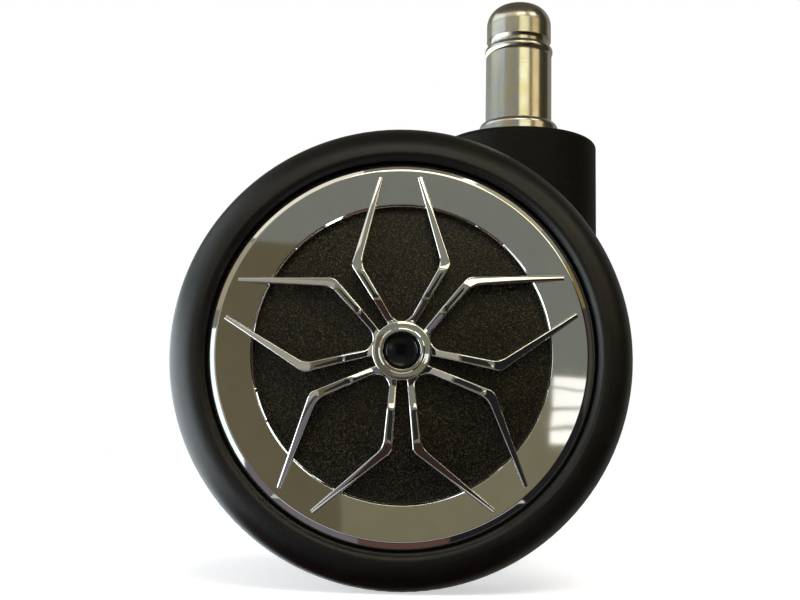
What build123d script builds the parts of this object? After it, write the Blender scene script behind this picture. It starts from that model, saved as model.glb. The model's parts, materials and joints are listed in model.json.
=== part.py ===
from build123d import *
import os
from math import asin, atan2, cos, degrees, hypot, radians, sin, sqrt

# Office chair castor: two soft-tread wheels on one axle, a moulded housing between them and a swivel stem.
# The origin is on the stem's axis at the foot of its straight wall, where the collar meets the socket.
# +Z runs up the stem, +X is the way the castor leads, and the axle lies along Y behind the stem.
# The right wheel is on -Y and the left wheel on +Y. All sizes are in millimetres and all angles in degrees.

# Clearances
running_clearance = 0.05    # radial, where a steel pin turns in a sleeve or bush
seat_clearance = 0.02       # radial, where a sleeve, bush, pin or peg is pushed home
end_clearance = 0.15        # axial, where a turning face runs past a still one
groove_clearance = 0.1      # between a split ring and the walls of its groove
side_clearance = 0.8        # between the housing and the wheels

# Stem above the housing
stem_radius = 5.5
stem_length = 20.7
ring_groove_height = 2.85
ring_groove_depth = 0.9
tip_length = 6.25           # above the ring groove
tip_radius = 5.4
tip_rounding = 3.6
collar_step = 1.05          # how far the collar stands out from the stem
collar_height = 3.3
collar_rounding = 1.0
collar_foot_chamfer = 0.4

# Grip ring
grip_height_share = 0.58    # of the groove's height, from its foot
grip_bulge = 0.2            # how far the ring stands out from the stem
grip_edge_drop = 0.45       # how far the ring's ends lie inside its middle
grip_split = 1.2

# Stem inside the housing
shank_radius = 5.0
clip_groove_depth = 0.8
shank_tail = 2.2            # below the clip groove
shank_chamfer = 0.8
sleeve_wall = 1.55
sleeve_length = 19.5
flange_radius = 9.0
flange_thickness = 1.5
flange_proud = 0.3          # above the top of the boss
clip_thickness = 1.0
clip_split = 3.0
stem_clip_wall = 2.0
bore_end_gap = 1.0          # below the end of the shank

# Housing
boss_radius = 12.8
boss_rim_rounding = 0.8
boss_above_axle = 37.55
boss_foot_above_axle = 18.0  # where the straight boss starts to round off
boss_foot_slack = 0.6        # by which the rounding at its foot is larger than the boss
trail = 19.0                 # from the stem's axis back to the axle
axle_hub_radius = 8.4
neck_half_width = 8.0
web_thickness = 4.0
guard_inset = 2.0            # how far the guard lies inside the tread
guard_thickness = 2.6
guard_rounding = 0.9
guard_front_angle = 50.0     # seen from the right, from the lead direction round over the top
guard_rear_angle = 196.0
rib_thickness = 1.8
rib_count = 5
rib_first_angle = 84.0
rib_inset = 1.2              # from the housing's side faces

# Axle
axle_radius = 4.0
axle_groove_depth = 0.6
axle_tail = 1.3
axle_chamfer = 0.5
axle_clip_wall = 1.4
washer_thickness = 0.8
washer_radius = 7.4

# Wheel
wheel_radius = 32.5
tyre_width = 16.6
tread_thickness = 4.9
inner_shoulder = 2.2
outer_shoulder = 4.5         # of the rounding to the outer side, towards the axle
outer_shoulder_width = 5.5   # of the same rounding, along the axle
trim_groove = 0.8            # dark gap between the trim ring and the tyre's side
lip_depth = 0.9              # of the step in the rim behind the nose
bush_wall = 1.6
bush_length = 7.5
hub_radius = 8.0
rim_wall = 2.7
core_rib_count = 10
core_rib_thickness = 1.6
core_rib_inset = 1.0
disc_thickness = 2.5
face_recess = 2.5            # from the tyre's crest down to the trim ring's seat
dome_rise = 1.4              # of the textured face, from the ring to the middle

# Chrome trim
trim_ring_inset = 6.35       # how far the ring's outer edge lies inside the tread
trim_ring_width = 5.71
trim_ring_thickness = 1.3
trim_ring_rounding = 0.5
trim_ring_bevel = 0.6
petal_count = 5
petal_angle = 91.5           # direction of the first petal, seen from outside
arm_height = 2.2             # above the textured face
arm_gap = 0.04               # under the arms
arm_bevel = 0.22
arm_start = (2.9, 0.8)       # along and across the petal's middle line
arm_knee_share = 0.656       # of the ring's inner radius, out to the bend of each arm
arm_knee_angle = 27.4        # from the petal's middle line
arm_tip_inset = 1.45         # from the ring's outer edge
arm_tip_angle = 6.34
arm_start_width = 1.0
arm_knee_width = 1.45
arm_tip_width = 0.56
knee_outer_rounding = 2.4
knee_inner_rounding = 1.4
hub_ring_radius = 4.0
hub_ring_top_radius = 3.1
hub_ring_height = 0.9        # above the arms
hub_ring_bulge = 1.1         # radius of its rounded side
hub_fillet = 0.45
spigot_radius = 2.3
spigot_wall = 1.0            # of the core behind the spigot's hole
peg_radius = 0.9
peg_length = 2.0

# Hub cap
cap_radius = 2.65
cap_seat_depth = 1.6
cap_recess = 0.45
cap_dish = 0.35
cap_rim = 0.35
cap_stem_radius = 1.2
cap_stem_length = 2.4

# Heights along the stem
collar_radius = stem_radius + collar_step
collar_foot = -collar_height
ring_groove_top = stem_length - tip_length
straight_length = ring_groove_top - ring_groove_height
ring_groove_radius = stem_radius - ring_groove_depth
flange_top = collar_foot - end_clearance
boss_top = flange_top - flange_proud
sleeve_end = flange_top - sleeve_length
sleeve_inner = shank_radius + running_clearance
sleeve_outer = sleeve_inner + sleeve_wall
boss_bore = sleeve_outer + seat_clearance
clip_top = sleeve_end - end_clearance
clip_groove_top = clip_top + groove_clearance
clip_groove_foot = clip_top - clip_thickness - groove_clearance
shank_end = clip_groove_foot - shank_tail
bore_end = shank_end - bore_end_gap

# Places across the axle, measured outward from the castor's middle plane
axle_x = -trail
axle_z = boss_top - boss_above_axle
wheel_inner = boss_radius + side_clearance
wheel_outer = wheel_inner + tyre_width
axle_hub_face = wheel_inner - end_clearance - washer_thickness
bush_inner = axle_radius + running_clearance
bush_outer = bush_inner + bush_wall
bush_end = wheel_inner + bush_length
axle_clip_start = bush_end + end_clearance
axle_groove_end = axle_clip_start + clip_thickness + groove_clearance
axle_end = axle_groove_end + axle_tail
wheel_bore_end = axle_end + bore_end_gap
disc_seat = wheel_outer - face_recess
disc_back = disc_seat - disc_thickness
rim_outer = wheel_radius - tread_thickness
rim_inner = rim_outer - rim_wall
core_ring_radius = (hub_radius + rim_inner) / 2
trim_ring_outer = wheel_radius - trim_ring_inset
trim_ring_inner = trim_ring_outer - trim_ring_width
arm_tip_reach = trim_ring_outer - arm_tip_inset
peg_circle_radius = (trim_ring_inner + trim_ring_outer) / 2
nose_inner_radius = trim_ring_outer + trim_groove
crest_radius = wheel_radius - outer_shoulder
nose_rounding = crest_radius - nose_inner_radius
lip_y = disc_seat - lip_depth
core_rib_end = wheel_inner + core_rib_inset
trim_ring_face = disc_seat + trim_ring_thickness
disc_centre = disc_seat + dome_rise
arm_crown = disc_centre + arm_height
hub_ring_top = arm_crown + hub_ring_height
cap_floor = hub_ring_top - cap_seat_depth
spigot_end = wheel_bore_end + spigot_wall

# Radius of the shallow dome that the textured face and the arms share
dome_radius = (trim_ring_inner ** 2 + dome_rise ** 2) / (2 * dome_rise)

axle_line = Axis((axle_x, 0, axle_z), (0, -1, 0))
side_plane = Plane(origin=(axle_x, 0, axle_z), x_dir=(1, 0, 0), z_dir=(0, -1, 0))


def along_petal(reach, angle):
    """Point at a distance from the axle and an angle from the petal's middle line."""
    return reach * cos(radians(angle)), reach * sin(radians(angle))


def dome_drop(radius):
    """How far the dome has fallen at a radius from its middle."""
    return dome_radius - sqrt(dome_radius ** 2 - radius ** 2)


def section_plane(side):
    """Plane through the axle: x is the distance from it, y the distance outward from the middle plane."""
    return Plane(origin=(axle_x, 0, axle_z), x_dir=(-side, 0, 0), z_dir=(0, 0, -1))


def face_plane(side, outward):
    """Plane square to the axle, seen from outside the wheel: x to the right, y up."""
    return Plane(origin=(axle_x, side * outward, axle_z), x_dir=(-side, 0, 0), z_dir=(0, side, 0))


def save(name, part):
    """Label one piece and write its file."""
    part.label = name
    export_step(part, f"parts/{name}.step")


def make_stem():
    """Turned pin: rounded tip, ring groove, straight wall, collar and shank with a clip groove."""
    shoulder = min(collar_rounding, collar_step, collar_height - collar_foot_chamfer)
    with BuildPart() as stem:
        with BuildSketch(Plane.XZ):
            with BuildLine():
                Line((0, stem_length), (tip_radius - tip_rounding, stem_length))
                RadiusArc(
                    (tip_radius - tip_rounding, stem_length),
                    (tip_radius, stem_length - tip_rounding),
                    tip_rounding,
                )
                Polyline(
                    (tip_radius, stem_length - tip_rounding),
                    (tip_radius, ring_groove_top),
                    (ring_groove_radius, ring_groove_top),
                    (ring_groove_radius, straight_length),
                    (stem_radius, straight_length),
                    (stem_radius, 0),
                    (collar_radius - shoulder, 0),
                )
                RadiusArc((collar_radius - shoulder, 0), (collar_radius, -shoulder), shoulder)
                Polyline(
                    (collar_radius, -shoulder),
                    (collar_radius, collar_foot + collar_foot_chamfer),
                    (collar_radius - collar_foot_chamfer, collar_foot),
                    (shank_radius, collar_foot),
                    (shank_radius, clip_groove_top),
                    (shank_radius - clip_groove_depth, clip_groove_top),
                    (shank_radius - clip_groove_depth, clip_groove_foot),
                    (shank_radius, clip_groove_foot),
                    (shank_radius, shank_end + shank_chamfer),
                    (shank_radius - shank_chamfer, shank_end),
                    (0, shank_end),
                    (0, stem_length),
                )
            make_face()
        revolve(axis=Axis.Z)
    return stem.part


def make_grip_ring():
    """Barrel-shaped spring ring, split at the back."""
    inner = ring_groove_radius + groove_clearance
    foot = straight_length + groove_clearance
    top = foot + grip_height_share * ring_groove_height
    outer = stem_radius + grip_bulge
    edge = outer - grip_edge_drop
    with BuildPart() as ring:
        with BuildSketch(Plane.XZ):
            with BuildLine():
                ThreePointArc((edge, foot), (outer, (foot + top) / 2), (edge, top))
                Polyline((edge, top), (inner, top), (inner, foot), (edge, foot))
            make_face()
        revolve(axis=Axis.Z)
        with BuildSketch(Plane.XY.offset(foot)):
            with Locations((0, stem_radius)):
                Rectangle(grip_split, 2 * stem_radius)
        extrude(amount=top - foot, mode=Mode.SUBTRACT)
    return ring.part


def make_stem_clip():
    """Flat split ring in the shank's groove, under the sleeve."""
    inner = shank_radius - clip_groove_depth + groove_clearance
    outer = inner + stem_clip_wall
    with BuildPart() as clip:
        with BuildSketch(Plane.XY.offset(clip_top)):
            Circle(outer)
            Circle(inner, mode=Mode.SUBTRACT)
            with Locations((outer, 0)):
                Rectangle(2 * outer, clip_split, mode=Mode.SUBTRACT)
        extrude(amount=-clip_thickness)
    return clip.part


def make_stem_sleeve():
    """Flanged bearing sleeve, pushed into the boss from above."""
    with BuildPart() as sleeve:
        with BuildSketch(Plane.XY.offset(flange_top)):
            Circle(flange_radius)
            Circle(sleeve_inner, mode=Mode.SUBTRACT)
        extrude(amount=-flange_thickness)
        with BuildSketch(Plane.XY.offset(flange_top)):
            Circle(sleeve_outer)
            Circle(sleeve_inner, mode=Mode.SUBTRACT)
        extrude(amount=-sleeve_length)
    return sleeve.part


def arc_band(inner, outer):
    """Flat band round the axle, from the guard's front angle to its rear angle, drawn in the side plane."""
    sweep_angle = guard_rear_angle - guard_front_angle
    with BuildSketch() as band:
        with BuildLine():
            near = CenterArc((0, 0), inner, guard_front_angle, sweep_angle)
            far = CenterArc((0, 0), outer, guard_front_angle, sweep_angle)
            Line(near @ 0, far @ 0)
            Line(near @ 1, far @ 1)
        make_face()
    return band.sketch


def make_housing():
    """Moulded body: round stem boss, neck, axle hub, and a ribbed web under a guard between the wheels."""
    guard_outer = wheel_radius - guard_inset
    guard_inner = guard_outer - guard_thickness
    arc_rib_radius = (axle_hub_radius + guard_inner) / 2
    rib_half = boss_radius - rib_inset
    rib_overlap = guard_thickness
    rib_pitch = (guard_rear_angle - rib_first_angle) / (rib_count - 1)
    # The last rib lies just inside the web's lower edge
    rib_turn = degrees(asin(rib_thickness / 2 / guard_inner))
    with BuildPart() as housing:
        with BuildSketch(Plane.XY.offset(boss_top)):
            Circle(boss_radius)
        extrude(amount=-boss_above_axle)
        fillet(housing.edges().group_by(Axis.Z)[-1], boss_rim_rounding)
        # Seen from the side, the boss runs straight down and then rounds off towards the axle hub
        foot_radius = boss_radius + boss_foot_slack
        with BuildSketch(side_plane):
            Circle(axle_hub_radius)
            with Locations((trail, boss_foot_above_axle)):
                Circle(foot_radius)
            make_hull()
            with Locations((trail, (boss_foot_above_axle + boss_above_axle) / 2)):
                Rectangle(2 * foot_radius, boss_above_axle - boss_foot_above_axle)
        extrude(amount=foot_radius, both=True, mode=Mode.INTERSECT)
        # Neck between the boss and the axle hub
        with BuildSketch(side_plane):
            Circle(axle_hub_radius)
            with Locations((trail, boss_foot_above_axle)):
                Circle(neck_half_width)
            make_hull()
        extrude(amount=neck_half_width, both=True)
        # Guard, web and ribs
        front = radians(guard_front_angle)
        guard_plane = Plane(
            origin=side_plane.origin,
            x_dir=(cos(front), 0, sin(front)),
            z_dir=(-sin(front), 0, cos(front)),
        )
        with BuildSketch(guard_plane):
            with Locations(((guard_inner + guard_outer) / 2, 0)):
                band = Rectangle(guard_thickness, 2 * boss_radius)
            fillet(band.vertices().group_by(Axis.X)[-1], guard_rounding)
        revolve(axis=axle_line, revolution_arc=guard_rear_angle - guard_front_angle)
        with BuildSketch(side_plane):
            add(arc_band(axle_hub_radius / 2, guard_inner + guard_thickness / 2))
        extrude(amount=web_thickness / 2, both=True)
        with BuildSketch(side_plane):
            add(arc_band(arc_rib_radius - rib_thickness / 2, arc_rib_radius + rib_thickness / 2))
            for number in range(rib_count):
                angle = rib_first_angle + number * rib_pitch - rib_turn
                with PolarLocations((axle_hub_radius + guard_inner) / 2, 1, start_angle=angle):
                    Rectangle(guard_inner - axle_hub_radius + rib_overlap, rib_thickness)
        extrude(amount=rib_half, both=True)
        with BuildSketch(side_plane):
            Circle(axle_hub_radius)
        extrude(amount=axle_hub_face, both=True)
        # Bore and flange seat for the sleeve, and the axle's bore
        with BuildSketch(Plane.XY.offset(boss_top)):
            Circle(boss_bore)
        extrude(amount=bore_end - boss_top, mode=Mode.SUBTRACT)
        with BuildSketch(Plane.XY.offset(boss_top)):
            Circle(flange_radius + groove_clearance)
        extrude(amount=flange_proud - flange_thickness, mode=Mode.SUBTRACT)
        with BuildSketch(side_plane):
            Circle(axle_radius + seat_clearance)
        extrude(amount=2 * axle_hub_face, both=True, mode=Mode.SUBTRACT)
    return housing.part


def make_axle():
    """Steel pin with a chamfer and a clip groove at each end."""
    groove_start = axle_clip_start - groove_clearance
    with BuildPart() as axle:
        with BuildSketch(side_plane):
            Circle(axle_radius)
        extrude(amount=axle_end, both=True)
        chamfer(axle.edges().filter_by(GeomType.CIRCLE), axle_chamfer)
        for side in (-1, 1):
            with BuildSketch(face_plane(side, groove_start)):
                Circle(2 * axle_radius)
                Circle(axle_radius - axle_groove_depth, mode=Mode.SUBTRACT)
            extrude(amount=axle_groove_end - groove_start, mode=Mode.SUBTRACT)
    return axle.part


def make_thrust_washer(side):
    """Plain washer against the axle hub."""
    with BuildPart() as washer:
        with BuildSketch(face_plane(side, axle_hub_face)):
            Circle(washer_radius)
            Circle(axle_radius + running_clearance, mode=Mode.SUBTRACT)
        extrude(amount=washer_thickness)
    return washer.part


def make_axle_clip(side):
    """Flat split ring in the axle's groove, outside the wheel's bush."""
    inner = axle_radius - axle_groove_depth + groove_clearance
    outer = inner + axle_clip_wall
    with BuildPart() as clip:
        with BuildSketch(face_plane(side, axle_clip_start)):
            Circle(outer)
            Circle(inner, mode=Mode.SUBTRACT)
            with Locations((0, -outer)):
                Rectangle(clip_split, 2 * outer, mode=Mode.SUBTRACT)
        extrude(amount=clip_thickness)
    return clip.part


def make_wheel_bush(side):
    """Plain bearing bush in the wheel's hub."""
    with BuildPart() as bush:
        with BuildSketch(face_plane(side, wheel_inner)):
            Circle(bush_outer)
            Circle(bush_inner, mode=Mode.SUBTRACT)
        extrude(amount=bush_length)
    return bush.part


def make_wheel_core(side):
    """Moulded wheel: hub, rim, round and straight ribs behind, and a slightly domed face in front."""
    ring_in = core_ring_radius - core_rib_thickness / 2
    ring_out = core_ring_radius + core_rib_thickness / 2
    half_way = trim_ring_inner / 2
    rib_overlap = rim_wall / 2
    with BuildPart() as core:
        with BuildSketch(section_plane(side)):
            with BuildLine():
                ThreePointArc(
                    (0, disc_centre),
                    (half_way, disc_centre - dome_drop(half_way)),
                    (trim_ring_inner, disc_seat),
                )
                Polyline(
                    (trim_ring_inner, disc_seat),
                    (nose_inner_radius, disc_seat),
                    (nose_inner_radius, lip_y),
                    (rim_outer, lip_y),
                    (rim_outer, wheel_inner),
                    (rim_inner, wheel_inner),
                    (rim_inner, disc_back),
                    (ring_out, disc_back),
                    (ring_out, core_rib_end),
                    (ring_in, core_rib_end),
                    (ring_in, disc_back),
                    (hub_radius, disc_back),
                    (hub_radius, wheel_inner),
                    (bush_outer + seat_clearance, wheel_inner),
                    (bush_outer + seat_clearance, wheel_bore_end),
                    (0, wheel_bore_end),
                    (0, disc_centre),
                )
            make_face()
        revolve(axis=axle_line)
        with BuildSketch(face_plane(side, core_rib_end)):
            with PolarLocations((hub_radius + rim_inner) / 2, core_rib_count, start_angle=petal_angle):
                Rectangle(rim_inner - hub_radius + rib_overlap, core_rib_thickness)
        extrude(amount=disc_back - core_rib_end)
        # Holes for the trim's spigot and pegs
        with BuildSketch(face_plane(side, spigot_end - seat_clearance)):
            Circle(spigot_radius + seat_clearance)
        extrude(amount=disc_centre - spigot_end + dome_rise, mode=Mode.SUBTRACT)
        with BuildSketch(face_plane(side, disc_seat)):
            with PolarLocations(peg_circle_radius, petal_count, start_angle=petal_angle):
                Circle(peg_radius + seat_clearance)
        extrude(amount=-peg_length - groove_clearance, mode=Mode.SUBTRACT)
    return core.part


def make_tyre(side):
    """Soft tread moulded round the rim, with rounded shoulders and a side that rolls in to the trim."""
    with BuildPart() as tyre:
        with BuildSketch(section_plane(side)):
            with BuildLine():
                Polyline((rim_outer, wheel_inner), (wheel_radius - inner_shoulder, wheel_inner))
                RadiusArc(
                    (wheel_radius - inner_shoulder, wheel_inner),
                    (wheel_radius, wheel_inner + inner_shoulder),
                    -inner_shoulder,
                )
                Line(
                    (wheel_radius, wheel_inner + inner_shoulder),
                    (wheel_radius, wheel_outer - outer_shoulder_width),
                )
                EllipticalCenterArc(
                    (crest_radius, wheel_outer - outer_shoulder_width),
                    outer_shoulder,
                    outer_shoulder_width,
                    start_angle=0,
                    arc_size=90,
                )
                RadiusArc(
                    (crest_radius, wheel_outer),
                    (nose_inner_radius, wheel_outer - nose_rounding),
                    -nose_rounding,
                )
                Polyline(
                    (nose_inner_radius, wheel_outer - nose_rounding),
                    (nose_inner_radius, lip_y),
                    (rim_outer, lip_y),
                    (rim_outer, wheel_inner),
                )
            make_face()
        revolve(axis=axle_line)
    return tyre.part


def petal_outline():
    """Both bent arms of one petal, lying along +X: from the hub to the knee and on to a narrow tip."""
    arm_knee = along_petal(arm_knee_share * trim_ring_inner, arm_knee_angle)
    arm_tip = along_petal(arm_tip_reach, arm_tip_angle)
    lower = atan2(arm_knee[1] - arm_start[1], arm_knee[0] - arm_start[0])
    upper = atan2(arm_tip[1] - arm_knee[1], arm_tip[0] - arm_knee[0])
    bend = (lower + upper) / 2
    knee_half = arm_knee_width / 2 / cos((lower - upper) / 2)
    stations = (
        (arm_start, lower, arm_start_width / 2),
        (arm_knee, bend, knee_half),
        (arm_tip, upper, arm_tip_width / 2),
    )
    outer_side = [(p[0] - half * sin(turn), p[1] + half * cos(turn)) for p, turn, half in stations]
    inner_side = [(p[0] + half * sin(turn), p[1] - half * cos(turn)) for p, turn, half in stations]
    with BuildSketch() as petal:
        with BuildLine():
            outer_line = FilletPolyline(*outer_side, radius=knee_outer_rounding)
            inner_line = FilletPolyline(*inner_side, radius=knee_inner_rounding)
            Line(outer_line @ 0, inner_line @ 0)
            Line(outer_line @ 1, inner_line @ 1)
        make_face()
        mirror(about=Plane.XZ)
    return petal.sketch


def make_chrome_trim(side):
    """Plated moulding: flat ring, five petals of two bent arms, a hub ring, and a spigot and pegs behind."""
    star_reach = arm_tip_reach + arm_tip_width
    half_way = star_reach / 2
    half_ring = trim_ring_inner / 2
    arm_foot = disc_centre + arm_gap
    seat = disc_seat + arm_gap
    petal = petal_outline()
    with BuildPart() as trim:
        with BuildSketch(face_plane(side, disc_seat)):
            with PolarLocations(0, petal_count, start_angle=petal_angle):
                add(petal)
            Circle(hub_ring_radius)
            roots = vertices().filter_by(lambda v: abs(hypot(v.X, v.Y) - hub_ring_radius) < seat_clearance)
            fillet(roots, hub_fillet)
        extrude(amount=arm_crown - disc_seat + arm_height)
        # Arms follow the dome of the face, above and below
        with BuildSketch(section_plane(side)):
            with BuildLine():
                ThreePointArc(
                    (0, arm_foot),
                    (half_ring, arm_foot - dome_drop(half_ring)),
                    (trim_ring_inner, seat),
                )
                Polyline(
                    (trim_ring_inner, seat),
                    (star_reach, seat),
                    (star_reach, arm_crown - dome_drop(star_reach)),
                )
                ThreePointArc(
                    (star_reach, arm_crown - dome_drop(star_reach)),
                    (half_way, arm_crown - dome_drop(half_way)),
                    (0, arm_crown),
                )
                Line((0, arm_crown), (0, arm_foot))
            make_face()
        revolve(axis=axle_line, mode=Mode.INTERSECT)
        crown = trim.faces().sort_by(Axis((0, 0, 0), (0, side, 0)))[-1]
        chamfer(crown.edges(), arm_bevel)
        # Ring with a rounded outer edge and a bevelled inner edge
        with BuildSketch(section_plane(side)):
            with BuildLine():
                Polyline(
                    (trim_ring_outer, trim_ring_face - trim_ring_rounding),
                    (trim_ring_outer, disc_seat),
                    (trim_ring_inner, disc_seat),
                    (trim_ring_inner, trim_ring_face - trim_ring_bevel),
                    (trim_ring_inner + trim_ring_bevel, trim_ring_face),
                    (trim_ring_outer - trim_ring_rounding, trim_ring_face),
                )
                RadiusArc(
                    (trim_ring_outer - trim_ring_rounding, trim_ring_face),
                    (trim_ring_outer, trim_ring_face - trim_ring_rounding),
                    trim_ring_rounding,
                )
            make_face()
        revolve(axis=axle_line)
        # Hub ring with the cap's seat, and the spigot behind it
        with BuildSketch(section_plane(side)):
            with BuildLine():
                RadiusArc(
                    (hub_ring_radius, arm_crown),
                    (hub_ring_top_radius, hub_ring_top),
                    -hub_ring_bulge,
                )
                Polyline(
                    (hub_ring_top_radius, hub_ring_top),
                    (0, hub_ring_top),
                    (0, spigot_end),
                    (spigot_radius, spigot_end),
                    (spigot_radius, arm_foot),
                    (hub_ring_radius, arm_foot),
                    (hub_ring_radius, arm_crown),
                )
            make_face()
        revolve(axis=axle_line)
        with BuildSketch(face_plane(side, hub_ring_top)):
            Circle(cap_radius)
        extrude(amount=-cap_seat_depth, mode=Mode.SUBTRACT)
        with BuildSketch(face_plane(side, cap_floor)):
            Circle(cap_stem_radius)
        extrude(amount=-cap_stem_length - groove_clearance, mode=Mode.SUBTRACT)
        with BuildSketch(face_plane(side, disc_seat)):
            with PolarLocations(peg_circle_radius, petal_count, start_angle=petal_angle):
                Circle(peg_radius)
        extrude(amount=-peg_length)
    return trim.part


def make_hub_cap(side):
    """Small dished plug, pushed into the hub ring."""
    plug = cap_radius - seat_clearance
    stem = cap_stem_radius - seat_clearance
    rim_y = hub_ring_top - cap_recess
    with BuildPart() as cap:
        with BuildSketch(section_plane(side)):
            with BuildLine():
                Polyline(
                    (plug - cap_rim, rim_y),
                    (plug, rim_y),
                    (plug, cap_floor),
                    (stem, cap_floor),
                    (stem, cap_floor - cap_stem_length),
                    (0, cap_floor - cap_stem_length),
                    (0, rim_y - cap_dish),
                )
                TangentArc((0, rim_y - cap_dish), (plug - cap_rim, rim_y), tangent=(1, 0))
            make_face()
        revolve(axis=axle_line)
    return cap.part


os.makedirs("parts", exist_ok=True)
save("stem", make_stem())
save("grip_ring", make_grip_ring())
save("stem_clip", make_stem_clip())
save("stem_sleeve", make_stem_sleeve())
save("housing", make_housing())
save("axle", make_axle())
for side_name, side in (("right", -1), ("left", 1)):
    save(f"{side_name}_thrust_washer", make_thrust_washer(side))
    save(f"{side_name}_axle_clip", make_axle_clip(side))
    save(f"{side_name}_wheel_bush", make_wheel_bush(side))
    save(f"{side_name}_wheel_core", make_wheel_core(side))
    save(f"{side_name}_tyre", make_tyre(side))
    save(f"{side_name}_chrome_trim", make_chrome_trim(side))
    save(f"{side_name}_hub_cap", make_hub_cap(side))
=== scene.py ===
"""Finishes for every piece of the office chair castor, and the studio that it is pictured in, with glowing
cards that paint the reflections in its plating and gloss.
"""
import json
from math import cos, pi, radians, sin, sqrt, tan
from typing import NamedTuple

import bmesh
import bpy
from bpy.props import FloatProperty, FloatVectorProperty, PointerProperty
from mathutils import Euler, Matrix, Vector


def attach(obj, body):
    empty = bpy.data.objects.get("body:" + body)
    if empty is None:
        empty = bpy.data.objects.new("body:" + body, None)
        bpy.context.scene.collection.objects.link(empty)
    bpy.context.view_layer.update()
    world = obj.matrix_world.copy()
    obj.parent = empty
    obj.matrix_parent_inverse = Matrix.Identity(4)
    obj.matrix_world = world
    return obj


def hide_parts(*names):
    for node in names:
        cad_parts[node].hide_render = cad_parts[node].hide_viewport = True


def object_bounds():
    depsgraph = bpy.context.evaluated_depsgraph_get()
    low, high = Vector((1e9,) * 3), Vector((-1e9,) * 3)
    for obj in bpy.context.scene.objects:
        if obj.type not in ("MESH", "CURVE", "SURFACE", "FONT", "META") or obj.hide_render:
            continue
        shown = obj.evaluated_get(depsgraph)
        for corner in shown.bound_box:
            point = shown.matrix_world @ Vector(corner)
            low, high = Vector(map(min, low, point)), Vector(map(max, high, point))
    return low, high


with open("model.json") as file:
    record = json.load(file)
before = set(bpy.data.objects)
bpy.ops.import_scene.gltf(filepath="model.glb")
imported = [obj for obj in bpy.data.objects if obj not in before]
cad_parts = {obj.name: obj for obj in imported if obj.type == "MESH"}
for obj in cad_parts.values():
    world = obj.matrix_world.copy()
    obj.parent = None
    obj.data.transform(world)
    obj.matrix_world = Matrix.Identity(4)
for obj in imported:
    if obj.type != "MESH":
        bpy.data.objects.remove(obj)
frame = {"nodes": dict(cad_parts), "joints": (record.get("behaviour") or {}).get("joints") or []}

bl_info = {
    "name": "Office chair castor",
    "version": (1, 0, 0),
    "blender": (4, 5, 0),
    "location": "3D View > Sidebar > Castor",
    "description": "Dresses a twin-wheel office chair castor with plated trim and sets up its studio",
    "category": "Object",
}

CAD_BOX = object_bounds()
AXLE = Vector(next(joint["pos_m"] for joint in frame["joints"] if joint["name"] == "right_wheel_spin"))
FLOOR_HEIGHT = CAD_BOX[0].z

# Each wheel and the side of the middle plane, along Y, that it lies on
WHEELS = (("right", -1), ("left", 1))
PETALS = 5

# How finely round forms are divided
CORNER_STEPS = 6
EDGE_STEPS = 8
CROWN_STEPS = 10
WEB_STEPS = 12
KNEE_STEPS = 12
ARM_STEPS = 24
DISH_STEPS = 10
RING_SEGMENTS = 256
HUB_SEGMENTS = 128
CAP_SEGMENTS = 96
TENT_SEGMENTS = (48, 24)

# How a mesh becomes a piece: points closer than this are one, edges past this angle stay sharp,
# and the largest faces set the normals
MERGE_DISTANCE = 1e-7
SHARP_ANGLE = radians(50)
FACE_WEIGHT = 100

# Sockets of a colour mix node, which shares them with its other kinds of mix
MIX_FIRST = 6
MIX_SECOND = 7
MIX_RESULT = 2

# Parts of a noise pattern's range over which a finish goes from one colour to the next
NOISE_SPAN = (0.3, 0.7)
STEEL_SPAN = (0.35, 0.65)
PATCH_SPAN = (0.35, 0.65)
SPARK_SPAN = (0.49, 0.65)

# Camera: width of its film in millimetres, and the nearest distance that it shows
SENSOR_WIDTH = 36.0
NEAR_CLIP = 0.01


class Card(NamedTuple):
    """Glowing card, seen only in reflections, that paints a reflection: seen from the axle, bearings right of
    the camera's side, and heights, in degrees.
    """
    name: str
    bearings: tuple
    heights: tuple
    colour: tuple
    strength: float = 1.0
    layer: int = 0


# Shares of the tent's radius: where cards lie, and how much further in each layer of them
CARD_REACH = 0.95
LAYER_STEP = 0.02
# About how large a card's cells are, in degrees
CARD_CELL = 5
# Share of its colour that is left in a card's deeper clouds, and the size of the clouds in metres
CARD_DEEPER = 0.9
CARD_CLOUD = 0.05

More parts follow.
